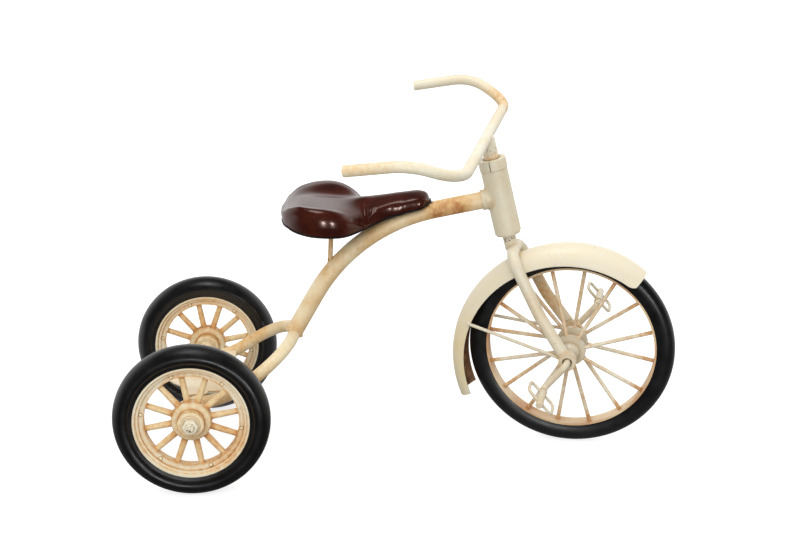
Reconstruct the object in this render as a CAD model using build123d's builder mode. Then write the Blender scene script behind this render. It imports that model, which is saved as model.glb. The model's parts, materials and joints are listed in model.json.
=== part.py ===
"""Children's tricycle with a pedalled front wheel, a bent tube frame and a padded saddle.

Lengths are in millimetres and angles in degrees. The layout has x forward from the rear axle, y to the
rider's left and z up from the floor. The front group is drawn straight ahead and turned at the end.
"""

import os
from math import asin, atan, cos, degrees, radians, sin, sqrt, tan

from build123d import *

# Layout: wheels, steering axis and the angle at which the bars stand
rear_wheel_radius = 109.7
rear_track = 318.0
front_wheel_radius = 152.5
wheelbase = 554.4
head_angle = 13.0
steer_offset = 56.6
steer_angle = -14.6

# Fits between moving pieces
running_clearance = 0.05
side_clearance = 0.3

# Rear wheels
rear_tyre_width = 42.0
rear_tyre_shoulder = 99.0
rear_tyre_shoulder_width = 40.0
rear_tyre_bulge = 93.0
rear_tyre_crease = 86.0
rear_tyre_crease_width = 32.0
rear_tyre_seat = 79.0
rear_rim_lip = 81.0
rear_rim_lip_width = 30.0
rear_rim_lip_wall = 2.0
rear_rim_step = 76.5
rear_rim_step_width = 21.0
rear_rim_flare = 1.8
rear_rim_web = 73.2
rear_rim_web_width = 14.0
rear_rim_inner = 66.0
rivet_circle_radius = 70.2
rivet_radius = 1.4
rivet_head_radius = 2.4
rivet_head_height = 2.0
rivet_head_crown = 1.4
rivet_angle = 9.6
rivet_count = 6
rear_spoke_count = 12
rear_spoke_root_radius = 4.7
rear_spoke_tip_radius = 4.1
rear_spoke_angle = 10.0
rear_hub_radius = 28.0
rear_hub_width = 18.0
rear_boss_radius = 18.5
rear_boss_width = 40.0
rear_hub_chamfer = 1.5
rear_bush_wall = 3.5

# Rear axle and its fasteners
rear_axle_radius = 6.0
rear_axle_overhang = 34.0
rear_axle_chamfer = 1.2
axle_washer_radius = 13.0
axle_washer_thickness = 2.2
inner_washer_thickness = 2.7
axle_nut_across = 19.0
axle_nut_height = 9.0
nut_bevel_share = 0.6

# Rear yoke, axle lugs and step deck
yoke_tube_radius = 9.0
yoke_wall = 1.6
yoke_leg_length = 35.6
yoke_rise_angle = 33.6
yoke_bend = 106.6
lug_radius = 10.5
lug_length = 82.0
yoke_half_width = (
    (rear_track - rear_boss_width - lug_length) / 2 - side_clearance - inner_washer_thickness
)
deck_thickness = 2.5
deck_front = 18.0
deck_apron = 50.0
deck_apron_inset = 11.0
deck_apron_half_width = yoke_half_width - deck_apron_inset
deck_rear = 14.0
deck_tongue_half_width = 66.0
deck_tongue_reach = 36.0
deck_corner = 9.0

# Main tube, head tube and head bushes
main_tube_radius = 12.7
main_wall = 1.8
main_corner_x = 234.6
main_corner_z = 340.8
main_bend = 257.0
main_slope_angle = 10.4
ferrule_radius = 15.0
ferrule_length = 8.0
head_tube_radius = 19.5
head_tube_wall = 3.0
head_tube_start = 179.0
head_tube_length = 97.0
collar_radius = 20.4
collar_height = 15.5
collar_wall = 8.5
collar_edge = 1.4
collar_slit = 1.0
collar_slit_angle = 162.0
bush_flange = 3.0
bush_length = 22.0

# Steerer, stem and handlebar
steerer_radius = 9.5
steerer_wall = 2.0
steerer_proud = 3.0
stem_radius = 11.0
stem_insert = 50.0
stem_insert_radius = steerer_radius - steerer_wall - running_clearance
bar_radius = 8.0
bar_wall = 1.8
bar_height = 323.0
bar_elbow = (0.0, 219.3, 0.0)
bar_hump = (-62.9, 253.8, 27.8)
bar_end = (-152.8, 245.3, 13.4)
bar_elbow_bend = 71.3
bar_hump_bend = 69.6
bar_plug_length = 8.0

# Fork
fork_tube_radius = 8.75
fork_wall = 1.6
crown_height = 152.0
crown_lead = 4.0
crown_half_width = 38.0
crown_bend = 26.0
crown_straight = 8.0
knee_back = 43.4
knee_height = 63.3
knee_half_width = 47.0
knee_bend = 120.0
eye_half_width = 59.0
eye_thickness = 12.0
eye_radius = 13.0
eye_flat_radius = 24.0
fork_bush_wall = 2.3

# Front fender and its stays
fender_radius = 161.6
fender_rear_radius = 182.5
fender_section = 27.6
fender_wall = 1.5
fender_front_angle = 49.0
fender_join_angle = 101.8
fender_tail_angle = 202.0
fender_edge_radius = 154.8
fender_edge_back = 3.3
fender_edge_drop = 20.3
fender_front_corner = 16.0
fender_tail_corner = 10.0
fender_boss_radius = 6.0
stay_radius = 2.5
stay_weld_radius = 3.6
stay_angle = 160.3
stay_flank_angle = 71.0

# Front wheel
front_tyre_width = 27.3
front_tyre_seat = 126.0
front_tyre_base_width = 21.0
front_rim_inner = 123.0
front_rim_hollow = 1.0
front_rim_width = 22.0
front_spoke_count = 16
front_spoke_radius = 2.9
front_spoke_angle = -8.0
front_spoke_tip_offset = 3.0
front_flange_radius = 23.0
front_flange_offset = 17.0
front_flange_width = 8.0
front_hub_radius = 14.0
front_hub_collar_radius = 10.0
front_hub_shoulder = 6.0
front_hub_taper = 6.0
hub_side_gap = 1.0
spoke_overrun = 2.0

# Cranks and pedals
crank_rod_radius = 5.0
crank_length = 50.0
crank_angle = 230.0
crank_offset = 75.5
crank_bend = 10.0
crank_shoulder = 1.5
pedal_pin_radius = 3.5
pedal_washer_radius = 6.6
pedal_washer_thickness = 1.5
pedal_length = 40.0
pedal_barrel_radius = 5.4
pedal_cap_radius = 5.4
pedal_cap_height = 6.0
pedal_cap_crown = 2.0
pedal_tilt_angle = -48.0
cage_wire_radius = 2.3
cage_half_width = 24.5
cage_margin = 4.0
cage_bend = 8.0

# Saddle: stations from the tail to the nose, each with its distance along the saddle, half width,
# underside height, rim height and middle height
saddle_tail_x = 130.0
saddle_stations = (
    (0.0, 20.0, 354.0, 370.0, 369.4),
    (9.0, 46.0, 350.0, 382.0, 380.5),
    (30.0, 68.0, 345.0, 390.0, 385.5),
    (60.0, 76.0, 342.0, 391.5, 385.5),
    (86.0, 70.0, 341.0, 388.0, 384.0),
    (112.0, 46.0, 343.5, 380.0, 381.5),
    (140.0, 28.0, 352.0, 379.0, 383.5),
    (175.0, 23.0, 362.0, 383.0, 388.0),
    (202.0, 19.5, 369.0, 384.0, 389.0),
    (212.0, 10.0, 372.0, 379.0, 382.0),
)
saddle_rim_share = 0.8
saddle_foot_share = 0.93
saddle_bulge_share = 0.45
saddle_pan_height = 4.0
saddle_seat_clearance = 0.2
strut_radius = 3.6
strut_top_x = 200.5
strut_foot_x = 195.5
strut_length = 76.0
clip_thickness = 2.6
clip_width = 12.0
clip_height = 6.0
clip_foot = 6.0
clip_step = 1.5


# Points and axes that several pieces share
rake = radians(head_angle)
turn = radians(steer_angle)
tyre_ring = front_wheel_radius - front_tyre_width / 2
wheel_lean = asin(sin(rake) * sin(turn))
turn_drop = steer_offset * sin(rake) * cos(rake) * (1 - cos(turn))
front_axle_height = tyre_ring * cos(wheel_lean) + front_tyre_width / 2 + turn_drop

rear_axle = Vector(0, 0, rear_wheel_radius)
front_axle = Vector(wheelbase, 0, front_axle_height)
steer_foot = Vector(wheelbase - steer_offset, 0, front_axle_height)
steer_direction = Vector(-sin(rake), 0, cos(rake))
steer_axis = Axis(steer_foot, steer_direction)
across = Vector(0, 1, 0)

pieces = []


def keep(piece, name, turned=False):
    """Label a finished piece, turn it with the bars if it belongs to them, and list it."""
    solid = piece.part.rotate(steer_axis, steer_angle) if turned else piece.part
    solid.label = name
    pieces.append(solid)


def along_steering(distance):
    """Point on the steering axis, measured up from the height of the front axle."""
    return steer_foot + steer_direction * distance


def steering_plane(distance):
    """Plane square to the steering axis."""
    return Plane(along_steering(distance), x_dir=across, z_dir=steer_direction)


def side(point, hand):
    """The point for the left hand side, +1, or mirrored for the right, -1."""
    return Vector(point.X, hand * point.Y, point.Z)


def in_wheel_plane(centre, angle, radius, lateral=0.0):
    """Point at an angle and radius round an axle, shifted sideways."""
    return centre + Vector(radius * cos(radians(angle)), lateral, radius * sin(radians(angle)))


def bent_bar(points, bends, radius, bore=0.0):
    """Round bar or tube along straight runs joined by bends, cut square at both ends."""
    with BuildPart() as bar:
        with BuildLine() as route:
            FilletPolyline(*points, radius=bends)
        with BuildSketch(Plane(route.line @ 0, z_dir=route.line % 0)):
            Circle(radius)
            if bore:
                Circle(bore, mode=Mode.SUBTRACT)
        sweep()
    return bar


def straight_bar(start, end, radius, bore=0.0):
    """Round bar or tube between two points."""
    with BuildPart() as bar:
        with BuildSketch(Plane(start, z_dir=end - start)):
            Circle(radius)
            if bore:
                Circle(bore, mode=Mode.SUBTRACT)
        extrude(amount=(end - start).length)
    return bar


def wheel_section(centre):
    """Sketch plane through an axle, with x outwards from it and y along it."""
    return Plane(centre, x_dir=(1, 0, 0), z_dir=(0, 0, 1))


def axle_plane(centre, lateral):
    """Plane square to an axle, facing the left."""
    return Plane(centre + across * lateral, x_dir=(1, 0, 0), z_dir=across)


def ring(centre, outer, bore, start, end):
    """Plain ring on an axle between two sideways positions."""
    with BuildPart() as piece:
        with BuildSketch(axle_plane(centre, min(start, end))):
            Circle(outer)
            Circle(bore, mode=Mode.SUBTRACT)
        extrude(amount=abs(end - start))
    return piece


def hex_nut(centre, across_flats, bore, start, height):
    """Six sided nut on an axle, with its corners turned down."""
    with BuildPart() as piece:
        with BuildSketch(axle_plane(centre, start)):
            RegularPolygon(across_flats / 2, 6, major_radius=False)
            Circle(bore, mode=Mode.SUBTRACT)
        extrude(amount=height)
        with BuildSketch(wheel_section(centre)):
            with BuildLine():
                corner = across_flats / sqrt(3)
                bevel = (corner - across_flats / 2) * nut_bevel_share
                Polyline(
                    (0, start),
                    (across_flats / 2, start),
                    (corner, start + bevel),
                    (corner, start + height - bevel),
                    (across_flats / 2, start + height),
                    (0, start + height),
                    close=True,
                )
            make_face()
        revolve(axis=Axis(centre, across), mode=Mode.INTERSECT)
    return piece


# Head tube with its collar and the two bushes that carry the steerer
head_top = head_tube_start + head_tube_length
bush_bore = steerer_radius + running_clearance
bush_radius = head_tube_radius - head_tube_wall
head_foot = along_steering(head_tube_start)
head_tube = straight_bar(head_foot, along_steering(head_top), head_tube_radius, bush_radius)
keep(head_tube, "head_tube")

with BuildPart() as head_collar:
    with BuildSketch(steering_plane(head_top)):
        Circle(collar_radius)
        Circle(collar_radius - collar_wall, mode=Mode.SUBTRACT)
    extrude(amount=collar_height)
    fillet(head_collar.faces().sort_by(steer_axis)[-1].outer_wire().edges(), collar_edge)
    with BuildSketch(steering_plane(head_top)):
        with PolarLocations(collar_radius, 1, start_angle=collar_slit_angle):
            Rectangle(2 * collar_wall + collar_slit, collar_slit)
    extrude(amount=collar_height, mode=Mode.SUBTRACT)
keep(head_collar, "head_collar")

with BuildPart() as upper_head_bush:
    with BuildSketch(steering_plane(head_top - bush_length)):
        Circle(bush_radius)
        Circle(bush_bore, mode=Mode.SUBTRACT)
    extrude(amount=bush_length)
keep(upper_head_bush, "upper_head_bush")

with BuildPart() as lower_head_bush:
    with BuildSketch(steering_plane(head_tube_start - bush_flange)):
        Circle(head_tube_radius - head_tube_wall / 2)
        Circle(bush_bore, mode=Mode.SUBTRACT)
    extrude(amount=bush_flange)
    with BuildSketch(steering_plane(head_tube_start)):
        Circle(bush_radius)
        Circle(bush_bore, mode=Mode.SUBTRACT)
    extrude(amount=bush_length)
keep(lower_head_bush, "lower_head_bush")


# Rear yoke: one tube from axle lug to axle lug, its legs bent up in long curves into a rising half hoop
rise = radians(yoke_rise_angle)
bend_run = yoke_bend * tan(rise / 2)
incline = Vector(cos(rise), 0, sin(rise))
leg_end = rear_axle + Vector(yoke_leg_length - bend_run, yoke_half_width, 0)
hoop_centre = rear_axle + Vector(yoke_leg_length, 0, 0) + incline * bend_run
hoop_start = hoop_centre + across * yoke_half_width
hoop_apex = hoop_centre + incline * yoke_half_width


def yoke(radius, bore=0.0):
    """Yoke tube of the given radius and bore along the shared route."""
    with BuildPart() as bar:
        with BuildLine() as route:
            left_leg = Line(rear_axle + across * yoke_half_width, leg_end)
            left_bend = TangentArc(left_leg @ 1, hoop_start, tangent=left_leg % 1)
            hoop = ThreePointArc(left_bend @ 1, hoop_apex, side(hoop_start, -1))
            right_bend = TangentArc(hoop @ 1, side(leg_end, -1), tangent=hoop % 1)
            Line(right_bend @ 1, rear_axle - across * yoke_half_width)
        with BuildSketch(Plane(route.line @ 0, z_dir=route.line % 0)):
            Circle(radius)
            if bore:
                Circle(bore, mode=Mode.SUBTRACT)
        sweep()
    return bar


yoke_filled = yoke(yoke_tube_radius)
with BuildPart() as rear_yoke:
    add(yoke(yoke_tube_radius, yoke_tube_radius - yoke_wall).part)
    for hand in (-1, 1):
        with BuildSketch(axle_plane(rear_axle, hand * yoke_half_width)):
            Circle(lug_radius)
        extrude(amount=lug_length / 2, both=True, mode=Mode.SUBTRACT)
keep(rear_yoke, "rear_yoke")

for hand, name in ((1, "left"), (-1, "right")):
    lug_inner = hand * (yoke_half_width - lug_length / 2)
    lug_outer = hand * (yoke_half_width + lug_length / 2)
    axle_lug = ring(rear_axle, lug_radius, rear_axle_radius, lug_inner, lug_outer)
    keep(axle_lug, f"axle_lug_{name}")


# Rear step: a plate laid on the axle lugs, with an apron between the legs and a bowed tongue behind
with BuildPart() as step_deck:
    with BuildSketch(Plane.XY.offset(rear_wheel_radius + lug_radius)):
        with BuildLine():
            rear_line = Polyline(
                (-deck_rear, deck_tongue_half_width),
                (-deck_rear, yoke_half_width),
                (deck_front, yoke_half_width),
                (deck_front, deck_apron_half_width),
                (deck_apron, deck_apron_half_width),
                (deck_apron, -deck_apron_half_width),
                (deck_front, -deck_apron_half_width),
                (deck_front, -yoke_half_width),
                (-deck_rear, -yoke_half_width),
                (-deck_rear, -deck_tongue_half_width),
            )
            ThreePointArc(rear_line @ 1, (-deck_rear - deck_tongue_reach, 0), rear_line @ 0)
        make_face()
    extrude(amount=deck_thickness)
    outer_corners = step_deck.edges().filter_by(Axis.Z).filter_by(
        lambda edge: abs(edge.center().Y) > yoke_half_width - deck_apron_inset / 2
    )
    fillet(outer_corners, deck_corner)
    fillet(step_deck.faces().sort_by(Axis.Z)[-1].edges(), deck_thickness / 3)
keep(step_deck, "step_deck")


# Main tube: one long bend from the yoke's hoop up to the head tube
slope = radians(main_slope_angle)
main_corner = Vector(main_corner_x, 0, main_corner_z)
head_reach = (steer_foot.X - main_corner_x - tan(rake) * (main_corner_z - front_axle_height)) / (
    cos(slope) + tan(rake) * sin(slope)
)
main_direction = Vector(cos(slope), 0, sin(slope))
main_top = main_corner + main_direction * head_reach
main_route = (hoop_apex, main_corner, main_top)
main_filled = bent_bar(main_route, [main_bend], main_tube_radius)
head_filled = straight_bar(head_foot, along_steering(head_top), head_tube_radius)

with BuildPart() as main_tube:
    add(bent_bar(main_route, [main_bend], main_tube_radius, main_tube_radius - main_wall).part)
    add(yoke_filled.part, mode=Mode.SUBTRACT)
    add(head_filled.part, mode=Mode.SUBTRACT)
keep(main_tube, "main_tube")

with BuildPart() as head_ferrule:
    ferrule_start = main_top - main_direction * (head_tube_radius + ferrule_length)
    add(straight_bar(ferrule_start, main_top, ferrule_radius, main_tube_radius).part)
    add(head_filled.part, mode=Mode.SUBTRACT)
keep(head_ferrule, "head_ferrule")


# Saddle: a padded cover on a shallow pan, with raised lobes and a narrow nose over the main tube
def saddle_face(station):
    """Cross section of the saddle, with drawn-in sides and a dished or crowned middle."""
    distance, half_width, underside, rim, middle = station
    foot = half_width * saddle_foot_share
    brim = half_width * saddle_rim_share
    waist = underside + (rim - underside) * saddle_bulge_share
    with BuildSketch(Plane((saddle_tail_x + distance, 0, 0), x_dir=across, z_dir=(1, 0, 0))) as section:
        with BuildLine():
            Line((-foot, underside), (foot, underside))
            ThreePointArc((foot, underside), (half_width, waist), (brim, rim))
            ThreePointArc((brim, rim), (0, middle), (-brim, rim))
            ThreePointArc((-brim, rim), (-half_width, waist), (-foot, underside))
        make_face()
    return section


with BuildPart() as saddle_form:
    for station in saddle_stations:
        add(saddle_face(station).sketch)
    loft()
    main_channel = bent_bar(main_route, [main_bend], main_tube_radius + saddle_seat_clearance)
    add(main_channel.part, mode=Mode.SUBTRACT)

with BuildPart() as pan_zone:
    with BuildSketch(Plane.XZ):
        with BuildLine():
            pan_line = Spline(
                *[(saddle_tail_x + row[0], row[2] + saddle_pan_height) for row in saddle_stations]
            )
            floor_z = saddle_stations[0][2] / 2
            Polyline(
                pan_line @ 1,
                ((pan_line @ 1).X + saddle_pan_height, (pan_line @ 1).Y),
                ((pan_line @ 1).X + saddle_pan_height, floor_z),
                ((pan_line @ 0).X - saddle_pan_height, floor_z),
                ((pan_line @ 0).X - saddle_pan_height, (pan_line @ 0).Y),
                pan_line @ 0,
            )
        make_face()
    extrude(amount=rear_track / 2, both=True)

with BuildPart() as saddle_cover:
    add(saddle_form.part)
    add(pan_zone.part, mode=Mode.SUBTRACT)
keep(saddle_cover, "saddle_cover")

with BuildPart() as saddle_pan:
    add(saddle_form.part)
    add(pan_zone.part, mode=Mode.INTERSECT)
keep(saddle_pan, "saddle_pan")

with BuildPart() as saddle_strut:
    strut_top = Vector(strut_top_x, 0, saddle_stations[3][2] + saddle_pan_height / 2)
    strut_foot = Vector(strut_foot_x, 0, strut_top.Z - strut_length)
    add(straight_bar(strut_foot, strut_top, strut_radius).part)
    add(main_filled.part, mode=Mode.SUBTRACT)
    add(saddle_pan.part, mode=Mode.SUBTRACT)
keep(saddle_strut, "saddle_strut")

with BuildPart() as saddle_clip:
    nose_x = saddle_tail_x + saddle_stations[-1][0]
    nose_z = saddle_stations[-1][2]
    with BuildSketch(Plane.XZ):
        with BuildLine():
            Polyline(
                (nose_x + side_clearance, nose_z + clip_height),
                (nose_x + side_clearance + clip_thickness, nose_z + clip_height),
                (nose_x + side_clearance + clip_thickness, nose_z + clip_step),
                (nose_x + clip_foot, nose_z + clip_step),
                (nose_x + clip_foot, nose_z - clip_height),
                (nose_x + side_clearance, nose_z - clip_height),
                close=True,
            )
        make_face()
    extrude(amount=clip_width / 2, both=True)
    add(main_filled.part, mode=Mode.SUBTRACT)
keep(saddle_clip, "saddle_clip")


# Rear axle with washers and nuts, and a wheel on each end
wheel_half_track = rear_track / 2
boss_half = rear_boss_width / 2
axle_half = wheel_half_track + rear_axle_overhang
with BuildPart() as rear_axle_rod:
    with BuildSketch(axle_plane(rear_axle, -axle_half)):
        Circle(rear_axle_radius)
    extrude(amount=2 * axle_half)
    chamfer(rear_axle_rod.edges(), rear_axle_chamfer)
keep(rear_axle_rod, "rear_axle")

washer_start = wheel_half_track + boss_half + side_clearance
nut_start = washer_start + axle_washer_thickness
lug_face = yoke_half_width + lug_length / 2
with BuildPart() as axle_washers:
    for hand in (-1, 1):
        outer_faces = (hand * washer_start, hand * nut_start)
        inner_faces = (hand * lug_face, hand * (lug_face + inner_washer_thickness))
        add(ring(rear_axle, axle_washer_radius, rear_axle_radius, *outer_faces).part)
        add(ring(rear_axle, axle_washer_radius, rear_axle_radius, *inner_faces).part)
keep(axle_washers, "axle_washers")

with BuildPart() as axle_nuts:
    for inner_face in (nut_start, -nut_start - axle_nut_height):
        add(hex_nut(rear_axle, axle_nut_across, rear_axle_radius, inner_face, axle_nut_height).part)
keep(axle_nuts, "axle_nuts")


def spokes(centre, count, phase, radii, roots, tips, hub_face, rim_face):
    """Rods from hub to rim. Roots and tips list sideways places that the rods take in turn."""
    with BuildPart() as rods:
        for number in range(count):
            angle = phase + number * 360 / count
            root = in_wheel_plane(centre, angle, hub_face - spoke_overrun, roots[number % len(roots)])
            tip = in_wheel_plane(centre, angle, rim_face + spoke_overrun, tips[number % len(tips)])
            length = (tip - root).length
            with BuildSketch(Plane(root, z_dir=tip - root)):
                Circle(radii[0])
            extrude(amount=length, taper=degrees(atan((radii[0] - radii[1]) / length)))
        with BuildSketch(axle_plane(centre, 0)):
            Circle(rim_face)
            Circle(hub_face, mode=Mode.SUBTRACT)
        extrude(amount=rim_face, both=True, mode=Mode.INTERSECT)
    return rods


for hand, name in ((1, "left"), (-1, "right")):
    wheel = rear_axle + across * (hand * wheel_half_track)
    wheel_axis = Axis(wheel, across)

    with BuildPart() as rear_tyre:
        bead = rear_rim_lip_width / 2 - rear_rim_lip_wall
        lip = rear_rim_lip_width / 2
        crease = rear_tyre_crease_width / 2
        flank = rear_tyre_width / 2
        shoulder = rear_tyre_shoulder_width / 2
        with BuildSketch(wheel_section(wheel)):
            with BuildLine():
                Polyline(
                    (rear_rim_lip, -lip),
                    (rear_rim_lip, -bead),
                    (rear_tyre_seat, -bead),
                    (rear_tyre_seat, bead),
                    (rear_rim_lip, bead),
                    (rear_rim_lip, lip),
                )
                Line((rear_rim_lip, lip), (rear_tyre_crease, crease))
                left_wall = ThreePointArc(
                    (rear_tyre_crease, crease), (rear_tyre_bulge, flank), (rear_tyre_shoulder, shoulder)
                )
                tread = ThreePointArc(
                    left_wall @ 1, (rear_wheel_radius, 0), (rear_tyre_shoulder, -shoulder)
                )
                right_wall = ThreePointArc(
                    tread @ 1, (rear_tyre_bulge, -flank), (rear_tyre_crease, -crease)
                )
                Line(right_wall @ 1, (rear_rim_lip, -lip))
            make_face()
        revolve(axis=wheel_axis)
    keep(rear_tyre, f"rear_tyre_{name}")

    with BuildPart() as rear_rim:
        with BuildSketch(wheel_section(wheel)):
            with BuildLine():
                half_outline = Polyline(
                    (rear_rim_inner, 0),
                    (rear_rim_inner, rear_rim_web_width / 2),
                    (rear_rim_web, rear_rim_web_width / 2),
                    (rear_rim_web, rear_rim_step_width / 2),
                    (rear_rim_step, rear_rim_step_width / 2),
                    (rear_rim_step + rear_rim_flare, lip),
                    (rear_rim_lip, lip),
                    (rear_rim_lip, bead),
                    (rear_tyre_seat, bead),
                    (rear_tyre_seat, 0),
                )
                Line(half_outline @ 1, half_outline @ 0)
            make_face()
            mirror(about=Plane.XZ)
        revolve(axis=wheel_axis)
        with BuildSketch(axle_plane(wheel, 0)):
            with PolarLocations(rivet_circle_radius, rivet_count, start_angle=rivet_angle):
                Circle(rivet_radius)
        extrude(amount=rear_rim_web_width, both=True, mode=Mode.SUBTRACT)
    keep(rear_rim, f"rear_rim_{name}")

    with BuildPart() as rim_rivets:
        with BuildSketch(axle_plane(wheel, 0)):
            with PolarLocations(rivet_circle_radius, rivet_count, start_angle=rivet_angle):
                Circle(rivet_radius)
        extrude(amount=rear_rim_web_width / 2, both=True)
        for face_side in (-1, 1):
            with BuildSketch(axle_plane(wheel, face_side * rear_rim_web_width / 2)):
                with PolarLocations(rivet_circle_radius, rivet_count, start_angle=rivet_angle):
                    Circle(rivet_head_radius)
            extrude(amount=face_side * rivet_head_height)
            head_tops = rim_rivets.faces().group_by(Axis(wheel, across * face_side))[-1]
            fillet(head_tops.edges(), rivet_head_crown)
    keep(rim_rivets, f"rim_rivets_{name}")

    rear_spokes = spokes(
        wheel,
        rear_spoke_count,
        rear_spoke_angle,
        (rear_spoke_root_radius, rear_spoke_tip_radius),
        (0,),
        (0,),
        rear_hub_radius,
        rear_rim_inner,
    )
    keep(rear_spokes, f"rear_spokes_{name}")

    bush_outer = rear_axle_radius + running_clearance + rear_bush_wall
    with BuildPart() as rear_hub:
        with BuildSketch(axle_plane(wheel, 0)):
            Circle(rear_hub_radius)
        extrude(amount=rear_hub_width / 2, both=True)
        with BuildSketch(axle_plane(wheel, 0)):
            Circle(rear_boss_radius)
        extrude(amount=boss_half, both=True)
        hub_rims = rear_hub.edges().filter_by(GeomType.CIRCLE).group_by(SortBy.RADIUS)[-1]
        chamfer(hub_rims, rear_hub_chamfer)
        with BuildSketch(axle_plane(wheel, 0)):
            Circle(bush_outer)
        extrude(amount=boss_half, both=True, mode=Mode.SUBTRACT)
    keep(rear_hub, f"rear_hub_{name}")

    hub_bush = ring(wheel, bush_outer, rear_axle_radius + running_clearance, -boss_half, boss_half)
    keep(hub_bush, f"rear_hub_bush_{name}")


# Fork: a crown bent over the fender and two blades that end in flattened eyes
apex = along_steering(crown_height)
crown_corner = apex + Vector(crown_lead, crown_half_width, 0)
knee = front_axle + Vector(-knee_back, knee_half_width, knee_height)
eye = front_axle + across * eye_half_width
blade_direction = (knee - crown_corner).normalized()
corner_turn = radians((crown_corner - side(crown_corner, -1)).get_angle(blade_direction))
crown_end = crown_corner + blade_direction * (crown_bend * tan(corner_turn / 2) + crown_straight)
crown_route = (crown_end, crown_corner, side(crown_corner, -1), side(crown_end, -1))
crown_filled = bent_bar(crown_route, crown_bend, fork_tube_radius)
fork_crown = bent_bar(crown_route, crown_bend, fork_tube_radius, fork_tube_radius - fork_wall)
keep(fork_crown, "fork_crown", turned=True)

with BuildPart() as steerer:
    add(straight_bar(apex, along_steering(head_top + steerer_proud), steerer_radius).part)
    with BuildSketch(steering_plane(head_top + steerer_proud)):
        Circle(steerer_radius - steerer_wall)
    extrude(amount=-stem_insert - steerer_proud, mode=Mode.SUBTRACT)
    add(crown_filled.part, mode=Mode.SUBTRACT)
keep(steerer, "steerer", turned=True)

fork_bush_bore = crank_rod_radius + running_clearance
fork_bush_radius = fork_bush_bore + fork_bush_wall
eye_outer = eye_half_width + eye_thickness / 2
eye_inner = eye_half_width - eye_thickness / 2


def eye_disc(radius, start, end):
    """Disc on the front axle line between two sideways places."""
    with BuildPart() as disc:
        with BuildSketch(axle_plane(front_axle, min(start, end))):
            Circle(radius)
        extrude(amount=abs(end - start))
    return disc


blades = {}
for hand, name in ((1, "left"), (-1, "right")):
    blade_route = [side(point, hand) for point in (crown_end, knee, eye)]
    with BuildPart() as fork_blade:
        add(bent_bar(blade_route, [knee_bend], fork_tube_radius).part)
        add(eye_disc(eye_radius, hand * eye_inner, hand * eye_outer).part)
        outside = eye_disc(eye_flat_radius, hand * eye_outer, hand * (eye_outer + eye_thickness))
        inside = eye_disc(eye_flat_radius, hand * eye_inner, hand * (eye_inner - eye_thickness))
        add(outside.part, mode=Mode.SUBTRACT)
        add(inside.part, mode=Mode.SUBTRACT)
        add(eye_disc(fork_bush_radius, hand * eye_inner, hand * eye_outer).part, mode=Mode.SUBTRACT)
    blades[hand] = fork_blade
    keep(fork_blade, f"fork_blade_{name}", turned=True)

    fork_bush = ring(front_axle, fork_bush_radius, fork_bush_bore, hand * eye_inner, hand * eye_outer)
    keep(fork_bush, f"fork_bush_{name}", turned=True)


# Handlebar on its stem
bar_centre = along_steering(bar_height)
bar_half = [bar_centre + Vector(*point) for point in (bar_end, bar_hump, bar_elbow)]
bar_route = bar_half + [side(point, -1) for point in reversed(bar_half)]
bar_bends = [bar_hump_bend, bar_elbow_bend, bar_elbow_bend, bar_hump_bend]
bar_filled = bent_bar(bar_route, bar_bends, bar_radius)
handlebar = bent_bar(bar_route, bar_bends, bar_radius, bar_radius - bar_wall)
keep(handlebar, "handlebar", turned=True)

with BuildPart() as bar_end_plugs:
    for hand in (-1, 1):
        end = side(bar_half[0], hand)
        inward = (side(bar_half[1], hand) - end).normalized()
        add(straight_bar(end, end + inward * bar_plug_length, bar_radius - bar_wall).part)
keep(bar_end_plugs, "bar_end_plugs", turned=True)

with BuildPart() as stem:
    stem_shoulder = head_top + steerer_proud
    stem_seat = along_steering(stem_shoulder)
    add(straight_bar(stem_seat, bar_centre, stem_radius).part)
    add(straight_bar(along_steering(stem_shoulder - stem_insert), stem_seat, stem_insert_radius).part)
    add(bar_filled.part, mode=Mode.SUBTRACT)
keep(stem, "stem", turned=True)


# Front fender: a deep arched strip round the wheel, opened out to a wider curve behind the fork
fender_ring = fender_radius - fender_section
fender_rear_ring = fender_rear_radius - fender_section
join_outward = in_wheel_plane(Vector(0, 0, 0), fender_join_angle, 1)
fender_join = Plane(front_axle, x_dir=join_outward, z_dir=join_outward.cross(across))
fender_rear_centre = front_axle - join_outward * (fender_rear_radius - fender_radius)
front_sweep = fender_join_angle - fender_front_angle
rear_sweep = fender_tail_angle - fender_join_angle


def fender_form(bore=0.0):
    """Full ring strip of the fender's section along both curves, solid or with a bore."""
    with BuildPart() as strip:
        with BuildSketch(fender_join) as section:
            with Locations((fender_ring, 0)):
                Circle(fender_section)
                if bore:
                    Circle(bore, mode=Mode.SUBTRACT)
        revolve(section.sketch, axis=Axis(front_axle, across), revolution_arc=front_sweep)
        revolve(section.sketch, axis=Axis(fender_rear_centre, -across), revolution_arc=rear_sweep)
    return strip


with BuildPart() as fender_outline:
    rear_offset = fender_rear_centre - front_axle
    rear_point = (rear_offset.X, rear_offset.Z)
    edge_point = (-fender_edge_back, -fender_edge_drop)
    with BuildSketch(Plane(front_axle, x_dir=(1, 0, 0), z_dir=-across)) as fender_side:
        with BuildLine():
            top = CenterArc((0, 0), fender_radius + fender_wall, fender_front_angle, front_sweep)
            back = CenterArc(
                rear_point, fender_rear_radius + fender_wall, fender_join_angle, rear_sweep
            )
            edge = CenterArc(edge_point, fender_edge_radius, fender_front_angle, front_sweep + rear_sweep)
            Line(top @ 0, edge @ 0)
            Line(back @ 1, edge @ 1)
        make_face()
        corners = fender_side.vertices()
        fillet(corners.sort_by_distance(edge @ 0)[0], fender_front_corner)
        fillet(corners.sort_by_distance(edge @ 1)[0], fender_tail_corner)
    extrude(amount=fender_section, both=True)

fender_filled = fender_form()
with BuildPart() as front_fender:
    add(fender_form(fender_section - fender_wall).part)
    add(fender_outline.part, mode=Mode.INTERSECT)
keep(front_fender, "front_fender", turned=True)

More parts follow.
